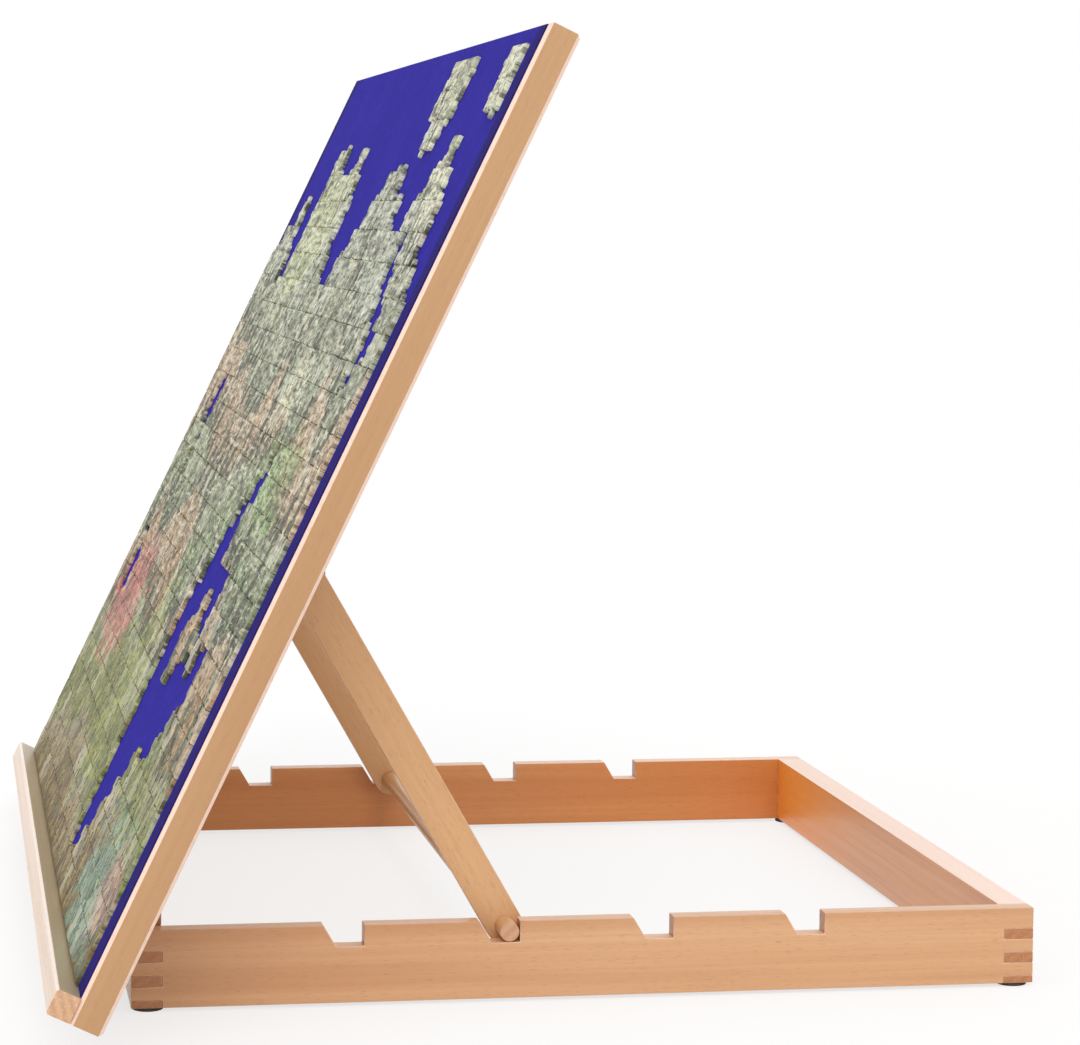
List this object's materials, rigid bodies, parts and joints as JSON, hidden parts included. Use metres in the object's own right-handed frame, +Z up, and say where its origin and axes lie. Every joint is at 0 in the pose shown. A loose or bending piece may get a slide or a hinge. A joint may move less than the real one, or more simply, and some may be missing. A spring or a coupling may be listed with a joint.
{
  "type": "jigsaw puzzle board",
  "caption": "Felt-covered board hinged to an open wooden base frame, tilted by a folding prop that rests in notches, with a part-laid jigsaw puzzle.",
  "frame": {"origin": "on the surface that the base stands on, under the middle of the whole part", "axes": "+X from the hinge to the free end of the base, +Y across the board towards its far side, +Z up"},
  "size_m": [0.5213, 0.72, 0.4961],
  "materials": {
    "base_beech": "satin clear lacquer over beech",
    "board_beech": "satin clear lacquer over beech",
    "prop_beech": "satin clear lacquer over beech",
    "plywood": "sanded plywood",
    "violet_felt": "short felt",
    "puzzle_card": "printed card with a soft sheen",
    "hinge_brass": "brushed brass plate",
    "screw_brass": "brass plate",
    "bolt_steel": "zinc plate",
    "foot_rubber": "matte"
  },
  "bodies": {
    "base": {"base_near_rail": "base_beech", "base_far_rail": "base_beech", "base_hinge_rail": "base_beech", "base_end_rail": "base_beech", "hinge_packer": "base_beech", "near_hinge_foot": "foot_rubber", "far_hinge_foot": "foot_rubber", "near_end_foot": "foot_rubber", "far_end_foot": "foot_rubber", "near_base_leaf": "hinge_brass", "far_base_leaf": "hinge_brass", "near_hinge_pin": "hinge_brass", "far_hinge_pin": "hinge_brass", "base_leaf_screws": "screw_brass"},
    "board": {"board_panel": "plywood", "felt_surface": "violet_felt", "near_edge_strip": "board_beech", "far_edge_strip": "board_beech", "top_edge_strip": "board_beech", "hinge_batten": "board_beech", "pivot_batten": "board_beech", "ledge": "board_beech", "near_board_leaf": "hinge_brass", "far_board_leaf": "hinge_brass", "board_leaf_screws": "screw_brass", "near_pivot_block": "board_beech", "far_pivot_block": "board_beech", "near_pivot_bolt": "bolt_steel", "far_pivot_bolt": "bolt_steel", "pivot_nuts": "bolt_steel", "puzzle_field": "puzzle_card", "puzzle_island_near": "puzzle_card", "puzzle_island_middle": "puzzle_card", "puzzle_island_far": "puzzle_card"},
    "prop": {"near_arm": "prop_beech", "far_arm": "prop_beech", "prop_dowel": "prop_beech"}
  },
  "joints": [
    {"name": "board_hinge", "type": "hinge", "parent": "base", "child": "board", "pos_m": [-0.21589, 0, 0.0518], "axis": [0, -1, 0], "range_deg": [0, 25]},
    {"name": "prop_hinge", "type": "hinge", "parent": "board", "child": "prop", "pos_m": [-0.12517, 0, 0.21904], "axis": [0, -1, 0], "range_deg": [0, 124]}
  ]
}
